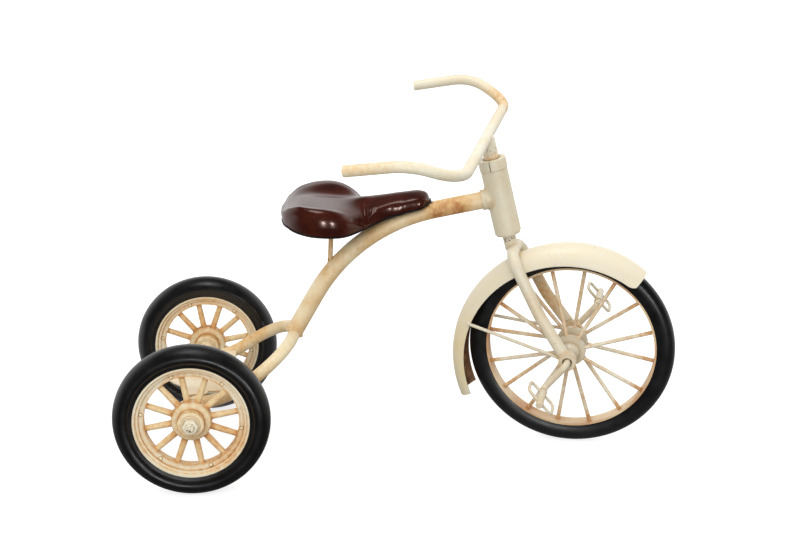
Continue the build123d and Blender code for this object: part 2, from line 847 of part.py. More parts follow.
boss_angle = (apex - front_axle).get_signed_angle(Vector(1, 0, 0), across)
with BuildPart() as fender_boss:
    boss_foot = in_wheel_plane(front_axle, boss_angle, fender_ring)
    add(straight_bar(boss_foot, apex + Vector(crown_lead, 0, 0), fender_boss_radius).part)
    add(fender_filled.part, mode=Mode.SUBTRACT)
    add(crown_filled.part, mode=Mode.SUBTRACT)
keep(fender_boss, "fender_boss", turned=True)

for hand, name in ((1, "left"), (-1, "right")):
    flank_angle = radians(stay_flank_angle)
    weld = in_wheel_plane(
        fender_rear_centre,
        stay_angle,
        fender_rear_ring + fender_section * cos(flank_angle),
        hand * fender_section * sin(flank_angle),
    )
    with BuildPart() as fender_stay:
        add(straight_bar(side(eye, hand), weld, stay_radius).part)
        with Locations(weld):
            Sphere(stay_weld_radius)
        add(fender_filled.part, mode=Mode.SUBTRACT)
        add(eye_disc(eye_radius, hand * eye_inner, hand * eye_outer).part, mode=Mode.SUBTRACT)
        add(blades[hand].part, mode=Mode.SUBTRACT)
    keep(fender_stay, f"fender_stay_{name}", turned=True)


# Front wheel: tyre, rim, two rows of spokes and the hub
front_axis = Axis(front_axle, across)
tyre_half = front_tyre_width / 2
base_half = front_tyre_base_width / 2
with BuildPart() as front_tyre:
    with BuildSketch(wheel_section(front_axle)):
        with BuildLine():
            tread = ThreePointArc(
                (tyre_ring, tyre_half), (front_wheel_radius, 0), (tyre_ring, -tyre_half)
            )
            left_wall = TangentArc(tread @ 0, (front_tyre_seat, base_half), tangent=(-1, 0))
            right_wall = TangentArc(tread @ 1, (front_tyre_seat, -base_half), tangent=(-1, 0))
            Line(left_wall @ 1, right_wall @ 1)
        make_face()
    revolve(axis=front_axis)
keep(front_tyre, "front_tyre", turned=True)

with BuildPart() as front_rim:
    rim_half = front_rim_width / 2
    with BuildSketch(wheel_section(front_axle)):
        with BuildLine():
            band = Polyline(
                (front_rim_inner, -rim_half),
                (front_tyre_seat, -rim_half),
                (front_tyre_seat, rim_half),
                (front_rim_inner, rim_half),
            )
            ThreePointArc(band @ 1, (front_rim_inner + front_rim_hollow, 0), band @ 0)
        make_face()
    revolve(axis=front_axis)
keep(front_rim, "front_rim", turned=True)

front_spokes = spokes(
    front_axle,
    front_spoke_count,
    front_spoke_angle,
    (front_spoke_radius, front_spoke_radius),
    (front_flange_offset, -front_flange_offset),
    (front_spoke_tip_offset, -front_spoke_tip_offset),
    front_flange_radius,
    front_rim_inner + front_rim_hollow,
)
with BuildPart() as front_rods:
    add(front_spokes.part)
    add(front_rim.part, mode=Mode.SUBTRACT)
keep(front_rods, "front_spokes", turned=True)

hub_half = eye_inner - hub_side_gap
with BuildPart() as front_hub:
    flange_inner = front_flange_offset - front_flange_width / 2
    flange_outer = front_flange_offset + front_flange_width / 2
    with BuildSketch(wheel_section(front_axle)):
        with BuildLine():
            Polyline(
                (crank_rod_radius, 0),
                (front_hub_radius, 0),
                (front_hub_radius, flange_inner),
                (front_flange_radius, flange_inner),
                (front_flange_radius, flange_outer),
                (front_hub_radius, flange_outer),
                (front_hub_radius, flange_outer + front_hub_shoulder),
                (front_hub_collar_radius, flange_outer + front_hub_shoulder + front_hub_taper),
                (front_hub_collar_radius, hub_half),
                (crank_rod_radius, hub_half),
                close=True,
            )
        make_face()
        mirror(about=Plane.XZ)
    revolve(axis=front_axis)
keep(front_hub, "front_hub", turned=True)


# Crank axle: one bent rod through the hub and both fork eyes, turned down at its ends to the pedal pins
pin_start = crank_offset + crank_bend + crank_shoulder
washer_inner = pin_start + side_clearance
barrel_start = washer_inner + pedal_washer_thickness + side_clearance
barrel_end = barrel_start + pedal_length
cap_inner = barrel_end + side_clearance
pin_end = cap_inner + pedal_cap_height - pedal_cap_crown
pin_centres = {
    "right": in_wheel_plane(front_axle, crank_angle, crank_length),
    "left": in_wheel_plane(front_axle, crank_angle + 180, crank_length),
}
crank_route = (
    pin_centres["right"] - across * pin_start,
    pin_centres["right"] - across * crank_offset,
    front_axle - across * crank_offset,
    front_axle + across * crank_offset,
    pin_centres["left"] + across * crank_offset,
    pin_centres["left"] + across * pin_start,
)
with BuildPart() as crank_axle:
    add(bent_bar(crank_route, crank_bend, crank_rod_radius).part)
    for hand, name in ((1, "left"), (-1, "right")):
        pin_root = pin_centres[name] + across * (hand * crank_offset)
        pin_tip = pin_centres[name] + across * (hand * pin_end)
        add(straight_bar(pin_root, pin_tip, pedal_pin_radius).part)
keep(crank_axle, "crank_axle", turned=True)

with BuildPart() as pedal_washers:
    for hand, name in ((1, "left"), (-1, "right")):
        faces = (hand * washer_inner, hand * (washer_inner + pedal_washer_thickness))
        add(ring(pin_centres[name], pedal_washer_radius, pedal_pin_radius, *faces).part)
keep(pedal_washers, "pedal_washers", turned=True)

with BuildPart() as pedal_caps:
    for hand, name in ((1, "left"), (-1, "right")):
        cap_base = axle_plane(pin_centres[name], hand * cap_inner)
        with BuildSketch(cap_base):
            Circle(pedal_cap_radius)
        extrude(amount=hand * pedal_cap_height)
        outer_face = pedal_caps.faces().sort_by(Axis((0, 0, 0), across * hand))[-1]
        fillet(outer_face.edges(), pedal_cap_crown)
        with BuildSketch(cap_base):
            Circle(pedal_pin_radius)
        extrude(amount=hand * (pedal_cap_height - pedal_cap_crown), mode=Mode.SUBTRACT)
keep(pedal_caps, "pedal_caps", turned=True)


# Pedals: a barrel on the crank pin with a wire cage bent into a loop each side of it
for hand, name in ((1, "left"), (-1, "right")):
    pin = pin_centres[name]
    barrel = ring(
        pin,
        pedal_barrel_radius,
        pedal_pin_radius + running_clearance,
        hand * barrel_start,
        hand * barrel_end,
    )
    keep(barrel, f"pedal_barrel_{name}", turned=True)

    with BuildPart() as pedal_cage:
        near = hand * (barrel_start + cage_margin)
        far = hand * (barrel_end - cage_margin)
        root = (pedal_pin_radius + pedal_barrel_radius) / 2
        for reach in (-1, 1):
            loop = [
                in_wheel_plane(pin, pedal_tilt_angle, reach * root, near),
                in_wheel_plane(pin, pedal_tilt_angle, reach * cage_half_width, near),
                in_wheel_plane(pin, pedal_tilt_angle, reach * cage_half_width, far),
                in_wheel_plane(pin, pedal_tilt_angle, reach * root, far),
            ]
            add(bent_bar(loop, cage_bend, cage_wire_radius).part)
        with BuildSketch(axle_plane(pin, 0)):
            Circle(pedal_barrel_radius)
        extrude(amount=pin_end, both=True, mode=Mode.SUBTRACT)
    keep(pedal_cage, f"pedal_cage_{name}", turned=True)


# The origin is the middle of the footprint, on the floor
box = Compound(pieces).bounding_box()
to_origin = Location((-box.center().X, -box.center().Y, 0))
os.makedirs("parts", exist_ok=True)
for piece in pieces:
    placed = piece.moved(to_origin)
    export_step(placed, f"parts/{placed.label}.step")
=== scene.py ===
"""Looks of a children's tricycle: cream enamel under a tan glaze, black rubber and a brown padded saddle.

Lengths are in metres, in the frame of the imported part: x forward, y to the rider's left, z up.
"""

import json

import bpy
import numpy as np
from mathutils import Matrix, Vector


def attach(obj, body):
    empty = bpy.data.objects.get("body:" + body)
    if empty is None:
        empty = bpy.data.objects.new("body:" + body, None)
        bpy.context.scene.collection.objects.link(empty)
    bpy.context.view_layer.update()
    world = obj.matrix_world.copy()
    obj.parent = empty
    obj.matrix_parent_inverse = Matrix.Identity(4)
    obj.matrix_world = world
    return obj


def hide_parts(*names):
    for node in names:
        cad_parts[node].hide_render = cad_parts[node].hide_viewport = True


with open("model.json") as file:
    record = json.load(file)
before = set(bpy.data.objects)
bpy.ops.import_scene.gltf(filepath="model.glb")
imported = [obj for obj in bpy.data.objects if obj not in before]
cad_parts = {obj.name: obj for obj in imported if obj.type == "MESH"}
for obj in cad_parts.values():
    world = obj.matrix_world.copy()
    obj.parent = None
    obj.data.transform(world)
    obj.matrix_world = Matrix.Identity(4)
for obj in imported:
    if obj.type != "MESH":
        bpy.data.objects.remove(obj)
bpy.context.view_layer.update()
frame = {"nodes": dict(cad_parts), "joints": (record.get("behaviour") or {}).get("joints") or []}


# Tube frame
# A steel main tube is bent in one sweep from a hooped rear yoke up to the head tube and brazed at each end.
# It is sprayed in cream enamel. A tan glaze wiped over it stays in corners, at the joints and in the bends,
# and the darkening in corners is partly painted shade.
MM = 0.001
nodes = frame["nodes"]
joints = {joint["name"]: joint for joint in frame["joints"]}
rear_left = Vector(joints["rear_wheel_left_spin"]["pos_m"])
rear_right = Vector(joints["rear_wheel_right_spin"]["pos_m"])
rear_middle = (rear_left + rear_right) / 2


def at(x, y, z):
    """Point given in millimetres forward, left and up from the floor under the middle of the rear axle."""
    return Vector((rear_middle.x + x * MM, rear_middle.y + y * MM, z * MM))


def linear(hex_colour):
    """Linear red, green, blue and alpha of an sRGB hex colour, by the sRGB curve."""
    channel = np.array([int(hex_colour[i:i + 2], 16) for i in (1, 3, 5)]) / 255
    curve = np.where(channel <= 0.04045, channel / 12.92, ((channel + 0.055) / 1.055) ** 2.4)
    return (*curve, 1.0)


def put(tree, kind, inputs=None, stops=None, **settings):
    """Add a shader node, set its properties, ramp stops and sockets, and link inputs that are sockets."""
    made = tree.nodes.new(kind)
    for name, value in settings.items():
        setattr(made, name, value)
    if stops:
        ramp = made.color_ramp.elements
        while len(ramp) < len(stops):
            ramp.new(1.0)
        for element, (place, colour) in zip(ramp, stops):
            element.position = place
            element.color = colour
    for socket, value in (inputs or {}).items():
        if isinstance(value, bpy.types.NodeSocket):
            tree.links.new(value, made.inputs[socket])
        else:
            made.inputs[socket].default_value = value
    return made


def blank_material(name):
    """An empty node material, its tree, its Principled shader and the object coordinates."""
    material = bpy.data.materials.new(name)
    material.use_nodes = True
    tree = material.node_tree
    tree.nodes.clear()
    shader = put(tree, "ShaderNodeBsdfPrincipled")
    put(tree, "ShaderNodeOutputMaterial", {"Surface": shader.outputs["BSDF"]})
    place = put(tree, "ShaderNodeTexCoord").outputs["Object"]
    return material, tree, shader, place


def glazed_shaded_enamel(
    name, cream, tan, cover, spots=(), marks=(), axle=None, rings=(), corners=0.5, grit=0.06
):
    """Satin cream enamel under a wiped tan glaze that turns to rust where it is thickest, with a few chips.

    The glaze is the sum of cloudy noise up to cover, a darkening in corners by ambient occlusion up to
    corners, which is partly glaze that stays there and partly painted shade, soft balls round the spots and
    soft bands at the radii of the rings round an axle, and grit is how far fine mottling shifts it. Paint is
    chipped to dark primer where a noise, lifted round the marks, passes a limit. Spots and marks are (point,
    radius, strength), rings are (radius, half width, strength).
    """
    cloud_size, mottle_size, chip_size, corner_reach = 60 * MM, 6 * MM, 3 * MM, 7 * MM
    rust, primer = linear("#B5793F"), linear("#4A3322")
    material, tree, shader, place = blank_material(name)
    cloud = put(tree, "ShaderNodeTexNoise", {"Vector": place, "Scale": 1 / cloud_size, "Detail": 2.5})
    mottle = put(tree, "ShaderNodeTexNoise", {"Vector": place, "Scale": 1 / mottle_size, "Detail": 3.0})
    flake = put(tree, "ShaderNodeTexNoise", {"Vector": place, "Scale": 1 / chip_size, "Detail": 2.0})
    total = put(
        tree, "ShaderNodeMapRange",
        {"Value": cloud.outputs["Fac"], "From Min": 0.3, "From Max": 0.72, "To Min": 0.0, "To Max": cover},
        interpolation_type="SMOOTHSTEP",
    ).outputs["Result"]
    # Darkening in corners by ambient occlusion: partly glaze that gathers there, partly painted shade
    shade = put(tree, "ShaderNodeAmbientOcclusion", {"Distance": corner_reach}, samples=6).outputs["AO"]
    corner_glaze_and_shade = put(
        tree, "ShaderNodeMapRange",
        {"Value": shade, "From Min": 0.25, "From Max": 0.85, "To Min": corners, "To Max": 0.0},
    ).outputs["Result"]
    total = put(tree, "ShaderNodeMath", {0: total, 1: corner_glaze_and_shade}, operation="ADD").outputs[0]
    falloffs = []
    for point, radius, strength in spots:
        away = put(tree, "ShaderNodeVectorMath", {0: place, 1: point}, operation="DISTANCE")
        falloffs.append((away.outputs["Value"], radius, strength))
    if axle:
        centre, direction = axle
        arm = put(tree, "ShaderNodeVectorMath", {0: place, 1: centre}, operation="SUBTRACT").outputs[0]
        turned_arm = put(tree, "ShaderNodeVectorMath", {0: arm, 1: direction}, operation="CROSS_PRODUCT")
        reach = put(tree, "ShaderNodeVectorMath", {0: turned_arm.outputs[0]}, operation="LENGTH")
        for radius, half_width, strength in rings:
            gap = put(tree, "ShaderNodeMath", {0: reach.outputs["Value"], 1: radius}, operation="SUBTRACT")
            size = put(tree, "ShaderNodeMath", {0: gap.outputs[0]}, operation="ABSOLUTE").outputs[0]
            falloffs.append((size, half_width, strength))
    if falloffs:
        uneven = put(
            tree, "ShaderNodeMapRange",
            {"Value": mottle.outputs["Fac"], "From Min": 0.3, "From Max": 0.7, "To Min": 0.5, "To Max": 1.15},
        ).outputs["Result"]
        patches = 0.0
        for distance, radius, strength in falloffs:
            soft = put(
                tree, "ShaderNodeMapRange",
                {
                    "Value": distance, "From Min": 0.1 * radius, "From Max": radius,
                    "To Min": strength, "To Max": 0.0,
                },
                interpolation_type="SMOOTHSTEP",
            ).outputs["Result"]
            patches = put(tree, "ShaderNodeMath", {0: patches, 1: soft}, operation="ADD").outputs[0]
        patches = put(tree, "ShaderNodeMath", {0: patches, 1: uneven}, operation="MULTIPLY").outputs[0]
        total = put(tree, "ShaderNodeMath", {0: total, 1: patches}, operation="ADD").outputs[0]
    speckle = put(
        tree, "ShaderNodeMapRange",
        {"Value": mottle.outputs["Fac"], "From Min": 0.3, "From Max": 0.7, "To Min": -grit, "To Max": grit},
    ).outputs["Result"]
    # This glaze amount includes the darkening in corners, which is partly painted shade
    glaze = put(tree, "ShaderNodeMath", {0: total, 1: speckle}, operation="ADD", use_clamp=True).outputs[0]
    colour = put(
        tree, "ShaderNodeValToRGB", {"Fac": glaze},
        stops=((0.0, linear(cream)), (0.5, linear(tan)), (1.0, rust)),
    ).outputs["Color"]
    bare = flake.outputs["Fac"]
    for point, radius, strength in marks:
        away = put(tree, "ShaderNodeVectorMath", {0: place, 1: point}, operation="DISTANCE")
        lift = put(
            tree, "ShaderNodeMapRange",
            {
                "Value": away.outputs["Value"], "From Min": 0.4 * radius, "From Max": radius,
                "To Min": strength, "To Max": 0.0,
            },
        ).outputs["Result"]
        bare = put(tree, "ShaderNodeMath", {0: bare, 1: lift}, operation="ADD").outputs[0]
    chip = put(
        tree, "ShaderNodeMapRange", {"Value": bare, "From Min": 0.74, "From Max": 0.78},
    ).outputs["Result"]
    painted = put(tree, "ShaderNodeMixRGB", {"Fac": chip, "Color1": colour, "Color2": primer})
    gloss = put(tree, "ShaderNodeMapRange", {"Value": glaze, "To Min": 0.36, "To Max": 0.6})
    bump = put(
        tree, "ShaderNodeBump", {"Height": mottle.outputs["Fac"], "Strength": 0.1, "Distance": 0.3 * MM},
    )
    tree.links.new(painted.outputs["Color"], shader.inputs["Base Color"])
    tree.links.new(gloss.outputs["Result"], shader.inputs["Roughness"])
    tree.links.new(bump.outputs["Normal"], shader.inputs["Normal"])
    shader.inputs["IOR"].default_value = 1.5
    return material


def dress(names, material):
    """Give CAD nodes a finish, with their loose triangles welded and shaded smooth up to a crease angle."""
    weld_gap, crease_angle = 0.005 * MM, np.radians(32)
    for name in names:
        piece = nodes[name]
        piece.data.materials.clear()
        piece.data.materials.append(material)
        piece.data.polygons.foreach_set("use_smooth", np.ones(len(piece.data.polygons), bool))
        weld = piece.modifiers.new("weld", "WELD")
        weld.merge_threshold = weld_gap
        crease = piece.modifiers.new("crease", "EDGE_SPLIT")
        crease.split_angle = crease_angle


# Rust shows through ahead of the saddle's nose, and the glaze is thick at the strut, the yoke and the lugs
tube_enamel = glazed_shaded_enamel(
    "cream_enamel_tube", "#ECDDB9", "#D6AE74", 0.4,
    spots=(
        (at(368, 0, 366), 46 * MM, 0.5), (at(352, -9, 360), 17 * MM, 0.35), (at(386, -9, 366), 17 * MM, 0.4),
        (at(196, 0, 285), 36 * MM, 0.25), (at(142, 0, 184), 26 * MM, 0.3), (at(70, 90, 135), 60 * MM, 0.22),
        (at(230, 0, 318), 70 * MM, 0.18), (at(85, -80, 140), 60 * MM, 0.35),
    ),
    marks=(
        (at(141, -8, 180), 10 * MM, 0.2), (at(196, -3, 290), 7 * MM, 0.14), (at(414, -8, 360), 7 * MM, 0.1),
    ),
)
dress(("main_tube", "rear_yoke", "axle_lug_left", "axle_lug_right", "saddle_strut"), tube_enamel)
deck_enamel = glazed_shaded_enamel("cream_enamel_step", "#EEE0C2", "#D6B686", 0.3)
dress(("step_deck",), deck_enamel)


def bead_mesh(name, beads, material, body):
    """Mesh of closed beads, an array of bead, place along, place round and xyz, riding on a body."""
    count, along, around, _ = beads.shape
    bead, step, turn = np.meshgrid(np.arange(count), np.arange(along), np.arange(around), indexing="ij")

    def index(s, t):
        """Number of the point s steps along and t steps round its bead, both counted in a circle."""
        return (bead * along + s % along) * around + t % around

    quads = np.stack(
        [index(step, turn), index(step, turn + 1), index(step + 1, turn + 1), index(step + 1, turn)], -1
    ).reshape(-1, 4)
    mesh = bpy.data.meshes.new(name)
    mesh.from_pydata(beads.reshape(-1, 3).tolist(), [], quads.tolist())
    mesh.polygons.foreach_set("use_smooth", np.ones(len(mesh.polygons), bool))
    mesh.materials.append(material)
    piece = bpy.data.objects.new(name, mesh)
    bpy.context.scene.collection.objects.link(piece)
    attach(piece, body)


def bead_along(line, size):
    """Bead on closed lines: at each point a circle square to the line, its radius uneven by two waves."""
    tangent = np.roll(line, -1, 1) - np.roll(line, 1, 1)
    tangent /= np.linalg.norm(tangent, axis=-1, keepdims=True)
    outward = line - line.mean(1, keepdims=True)
    outward -= (outward * tangent).sum(-1, keepdims=True) * tangent
    outward /= np.linalg.norm(outward, axis=-1, keepdims=True)
    side = np.cross(tangent, outward)
    swing = np.linspace(0, 2 * np.pi, line.shape[1], endpoint=False)
    swell, ripple = 0.14 * np.sin(3 * swing + 0.6), 0.1 * np.sin(8 * swing + 2.1)
    radius = (size * (1 + swell + ripple))[None, :, None, None]
    points_round = 10
    turn = np.linspace(0, 2 * np.pi, points_round, endpoint=False)
    return line[:, :, None] + radius * (
        np.cos(turn)[:, None] * outward[:, :, None] + np.sin(turn)[:, None] * side[:, :, None]
    )


def seam_line(foot, direction, radius, gap):
    """Closed line where a tube comes out of another surface.

    On each straight line of the tube's wall, the stretch from its foot, inside, to a reach outside is halved
    towards the place where the gap to the surface is zero.
    """
    lines, reach, halvings = 64, 45 * MM, 30
    direction = np.array(direction) / np.linalg.norm(direction)
    across = np.array((0.0, 1.0, 0.0))
    other = np.cross(direction, across)
    swing = np.linspace(0, 2 * np.pi, lines, endpoint=False)[:, None]
    start = np.array(foot) + radius * (np.cos(swing) * across + np.sin(swing) * other)
    low = np.zeros(lines)
    high = np.full(lines, reach)
    for _ in range(halvings):
        middle = (low + high) / 2
        outside = gap(start + middle[:, None] * direction) > 0
        high = np.where(outside, middle, high)
        low = np.where(outside, low, middle)
    return (start + low[:, None] * direction)[None]


def hoop_gap(points):
    """Distance from points to the yoke's half hoop: a tube on a circle in a plane that rises forward."""
    hoop_radius, hoop_tube, rise = 95 * MM, 9 * MM, np.radians(33.6)
    incline = np.array((np.cos(rise), 0, np.sin(rise)))
    arm = points - np.array(at(62.4, 0, 127.5))
    level = np.hypot(arm @ incline, arm[:, 1])
    return np.hypot(level - hoop_radius, arm @ np.array((-np.sin(rise), 0, np.cos(rise)))) - hoop_tube


main_tube_foot, main_tube_way, main_tube_radius = at(141.5, 0, 180.1), (0.501, 0, 0.865), 12.7 * MM
yoke_seam = seam_line(main_tube_foot, main_tube_way, main_tube_radius, hoop_gap)
bead_mesh("yoke_braze", bead_along(yoke_seam, 1.9 * MM), tube_enamel, "frame")


# Head tube
# A plain steel tube is capped by a pinch collar and brazed to the main tube through a short ferrule. The
# steerer turns in it on two painted bushes, and its top edge has rubbed through to rust.
steering_axis = Vector(joints["steering"]["axis"])
steering_foot = at(497.8, 0, 152.7)


def up_steering(height):
    """Point on the steering axis, its height in millimetres along the axis from the foot."""
    return steering_foot + steering_axis * height * MM


head_enamel = glazed_shaded_enamel(
    "cream_enamel_head", "#D9D0B7", "#CDB07E", 0.12,
    spots=(
        (at(432, 0, 437), 17 * MM, 0.9), (at(428, -12, 372), 16 * MM, 0.25), (at(418, 0, 392), 14 * MM, 0.3),
    ),
    marks=((at(432, -4, 438), 16 * MM, 0.1),), corners=0.35,
)
dress(("head_tube", "head_collar", "head_ferrule", "upper_head_bush"), head_enamel)


def head_gap(points):
    """Distance from points to the head tube: a cylinder on the steering axis."""
    head_radius = 19.5 * MM
    axis = np.array(joints["steering"]["axis"])
    arm = points - np.array(joints["steering"]["pos_m"])
    return np.linalg.norm(np.cross(arm, axis), axis=1) - head_radius


ferrule_foot, ferrule_way, ferrule_radius = at(445.4, 0, 379.5), (-0.984, 0, -0.18), 15 * MM
ferrule_seam = seam_line(ferrule_foot, ferrule_way, ferrule_radius, head_gap)
bead_mesh("ferrule_braze", bead_along(ferrule_seam, 1.7 * MM), head_enamel, "frame")


def blotched(name, size, detail, stops, roughness):
    """Dull surface in blotches: noise of a size in millimetres, read through stops of place and colour."""
    material, tree, shader, place = blank_material(name)
    noise = put(tree, "ShaderNodeTexNoise", {"Vector": place, "Scale": 1 / (size * MM), "Detail": detail})
    colour = put(
        tree, "ShaderNodeValToRGB", {"Fac": noise.outputs["Fac"]},
        stops=[(position, linear(shade)) for position, shade in stops],
    )
    tree.links.new(colour.outputs["Color"], shader.inputs["Base Color"])
    shader.inputs["Roughness"].default_value = roughness
    return material


def axis_ring(centre, axis, radius):
    """Closed circle of points round an axis, as one row of an array of rings."""
    points_round = 64
    axis = Vector(axis).normalized()
    level = axis.orthogonal().normalized()
    other = axis.cross(level)
    swing = np.linspace(0, 2 * np.pi, points_round, endpoint=False)[:, None]
    circle = np.cos(swing) * np.array(level) + np.sin(swing) * np.array(other)
    return (np.array(centre) + radius * circle)[None]


# Brown dirt and rust that gathers in seams, drawn as thin dark lines
seam_rust = blotched("dark_seam_rust", 5, 4.0, ((0.35, "#4A3426"), (0.65, "#A98A62")), 0.7)
collar_foot, collar_top, collar_radius, stem_radius = 275.9, 291.4, 19.65 * MM, 12.2 * MM
collar_seam = axis_ring(up_steering(collar_foot), steering_axis, collar_radius)
bead_mesh("collar_seam", bead_along(collar_seam, 0.42 * MM), seam_rust, "frame")
stem_gap = axis_ring(up_steering(collar_top), steering_axis, stem_radius)
bead_mesh("collar_mouth", bead_along(stem_gap, 0.6 * MM), seam_rust, "frame")


# Rear axle
# A steel rod runs through both lugs, with a washer each side of every wheel and a hexagon nut on each end,
# all painted over with the rest and rubbed pale on the corners.
axle_end, nut_face, nut_bore = 193 * MM, 189.9 * MM, 6.3 * MM
axle_enamel = glazed_shaded_enamel("cream_enamel_axle", "#E6DEC6", "#C6A878", 0.2, corners=0.8)
dress(("axle_washers", "axle_nuts"), axle_enamel)
axle_end_enamel = glazed_shaded_enamel(
    "chipped_cream_axle_end", "#E2DAC2", "#C9B48C", 0.2, corners=0.5,
    marks=[(rear_middle + Vector((0, side * axle_end, 0)), 9 * MM, 0.2) for side in (-1, 1)],
)
dress(("rear_axle",), axle_end_enamel)
nut_mouths = np.concatenate([
    axis_ring(rear_middle + Vector((0, side * nut_face, 0)), (0, 1, 0), nut_bore) for side in (-1, 1)
])
bead_mesh("nut_mouths", bead_along(nut_mouths, 0.55 * MM), seam_rust, "frame")


# Rear wheels
# A stepped pressed rim is riveted and brazed to a ring of turned spokes round a shouldered hub, under a
# solid rubber tyre. The glaze lies thick, darkest in the rim's grooves and at the spokes' feet, where the
# darkening is partly painted shade.
def moulded_rubber(name):
    """Smooth black rubber with a soft sheen and faint dust, in 20 mm clouds."""
    material, tree, shader, place = blank_material(name)
    dust = put(tree, "ShaderNodeTexNoise", {"Vector": place, "Scale": 1 / (20 * MM), "Detail": 6.0})
    colour = put(
        tree, "ShaderNodeValToRGB", {"Fac": dust.outputs["Fac"]},
        stops=((0.35, linear("#0D0D0E")), (0.8, linear("#161617"))),
    )
    gloss = put(
        tree, "ShaderNodeMapRange",
        {"Value": dust.outputs["Fac"], "From Min": 0.3, "From Max": 0.7, "To Min": 0.28, "To Max": 0.42},
    )
    tree.links.new(colour.outputs["Color"], shader.inputs["Base Color"])
    tree.links.new(gloss.outputs["Result"], shader.inputs["Roughness"])
    shader.inputs["IOR"].default_value = 1.5
    return material


def rod_feet(centre, forward, up, axis, angles, laterals, radius, slant, rod_radius):
    """Circles square to the rods of a wheel, where they meet its hub or rim.

    A rod's foot is at a radius and an angle round the axis and at a sideways place along it, and the rod runs
    outwards from there with a sideways slant.
    """
    points_round = 20
    forward, up, axis = (np.array(vector) for vector in (forward, up, axis))
    ray = np.cos(angles)[:, None] * forward + np.sin(angles)[:, None] * up
    lean = ray + slant[:, None] * axis
    lean /= np.linalg.norm(lean, axis=1, keepdims=True)
    tangent = np.cross(lean, axis)
    tangent /= np.linalg.norm(tangent, axis=1, keepdims=True)
    other = np.cross(lean, tangent)
    foot = np.array(centre) + radius * ray + laterals[:, None] * axis
    swing = np.linspace(0, 2 * np.pi, points_round, endpoint=False)[:, None]
    return foot[:, None] + rod_radius * (np.cos(swing) * tangent[:, None] + np.sin(swing) * other[:, None])


tyre_rubber = moulded_rubber("moulded_black_rubber")
rivet_enamel = glazed_shaded_enamel("cream_enamel_rivets", "#EDDFB8", "#DDBE88", 0.2, corners=0.2)
# Turned bushes of dull bronze, with old paint in their hollows
worn_bronze = blotched(
    "worn_bush_bronze", 3, 4.0, ((0.35, "#3A2C1C"), (0.55, "#7A6545"), (0.75, "#C9BFA4")), 0.6
)
spoke_count, first_spoke = 12, 10
spoke_feet = ((28 * MM, 4.7 * MM), (66 * MM, 4.1 * MM))
rivet_count, first_rivet, rivet_circle, rivet_radius, rivet_side = 6, -9.6, 70.2 * MM, 2.6 * MM, 7.1 * MM
for hand, centre in (("left", rear_left), ("right", rear_right)):
    dress((f"rear_tyre_{hand}",), tyre_rubber)
    spin = (centre, (0, 1, 0))
    rim_enamel = glazed_shaded_enamel(
        f"cream_enamel_rear_rim_{hand}", "#E5DEC4", "#DDB47E", 0.26, axle=spin,
        spots=(
            (centre + Vector((0.05, 0, -0.055)), 55 * MM, 0.28),
            (centre + Vector((0, 0, 0.075)), 60 * MM, 0.2),
        ),
        # The bands at the rim's grooves are glaze and partly painted shade in the grooves
        rings=((77.0 * MM, 0.8 * MM, 0.4), (73.2 * MM, 0.8 * MM, 0.5), (66.5 * MM, 2.5 * MM, 0.4)),
        corners=0.4, grit=0.12,
    )
    dress((f"rear_rim_{hand}",), rim_enamel)
    spoke_enamel = glazed_shaded_enamel(
        f"cream_enamel_rear_spokes_{hand}", "#E7CFA0", "#D6A467", 0.45, axle=spin,
        rings=((29 * MM, 9 * MM, 0.4), (66 * MM, 7 * MM, 0.35)), corners=0.5, grit=0.2,
    )
    dress((f"rear_spokes_{hand}",), spoke_enamel)
    hub_enamel = glazed_shaded_enamel(
        f"cream_enamel_rear_hub_{hand}", "#EBDDBA", "#D6B079", 0.36, axle=spin,
        rings=((28 * MM, 3 * MM, 0.35), (18.5 * MM, 1.8 * MM, 0.45)), corners=0.65, grit=0.16,
    )
    dress((f"rear_hub_{hand}",), hub_enamel)
    dress((f"rim_rivets_{hand}",), rivet_enamel)
    dress((f"rear_hub_bush_{hand}",), worn_bronze)
    spoke_angles = np.radians(first_spoke + 360 / spoke_count * np.arange(spoke_count))
    level = np.zeros(spoke_count)
    feet = np.concatenate([
        rod_feet(centre, (1, 0, 0), (0, 0, 1), (0, 1, 0), spoke_angles, level, radius, level, rod_radius)
        for radius, rod_radius in spoke_feet
    ])
    bead_mesh(f"rear_spoke_braze_{hand}", bead_along(feet, 0.9 * MM), spoke_enamel, f"rear_wheel_{hand}")
    rivet_angles = np.radians(first_rivet + 360 / rivet_count * np.arange(rivet_count))
    rivet_feet = np.concatenate([
        axis_ring(
            centre + Vector((rivet_circle * np.cos(angle), lateral, rivet_circle * np.sin(angle))),
            (0, 1, 0), rivet_radius,
        )
        for angle in rivet_angles for lateral in (-rivet_side, rivet_side)
    ])
    bead_mesh(
        f"rivet_stain_{hand}", bead_along(rivet_feet, 0.45 * MM), seam_rust,
        f"rear_wheel_{hand}",
    )


# Fork
# Two tubes run down from a bowed crown, their ends flattened into eyes with bronze bushes for the axle. The
# neck under the head tube has worn through to dark primer.
front_axle = Vector(joints["front_wheel_spin"]["pos_m"])
front_direction = Vector(joints["front_wheel_spin"]["axis"])
fork_enamel = glazed_shaded_enamel(
    "cream_enamel_fork", "#DAD2BB", "#CDAC7C", 0.18, axle=(front_axle, front_direction),
    spots=((front_axle + Vector((-0.035, 0.055, 0.075)), 75 * MM, 0.5),),
    rings=((14 * MM, 7 * MM, 0.25),),
    marks=((up_steering(172), 15 * MM, 0.34), (at(488, 30, 300), 12 * MM, 0.14)),
)
dress((
    "lower_head_bush", "fork_crown", "steerer", "fork_blade_left", "fork_blade_right", "fender_boss",
    "fender_stay_left", "fender_stay_right",
), fork_enamel)
dress(("fork_bush_left", "fork_bush_right"), worn_bronze)


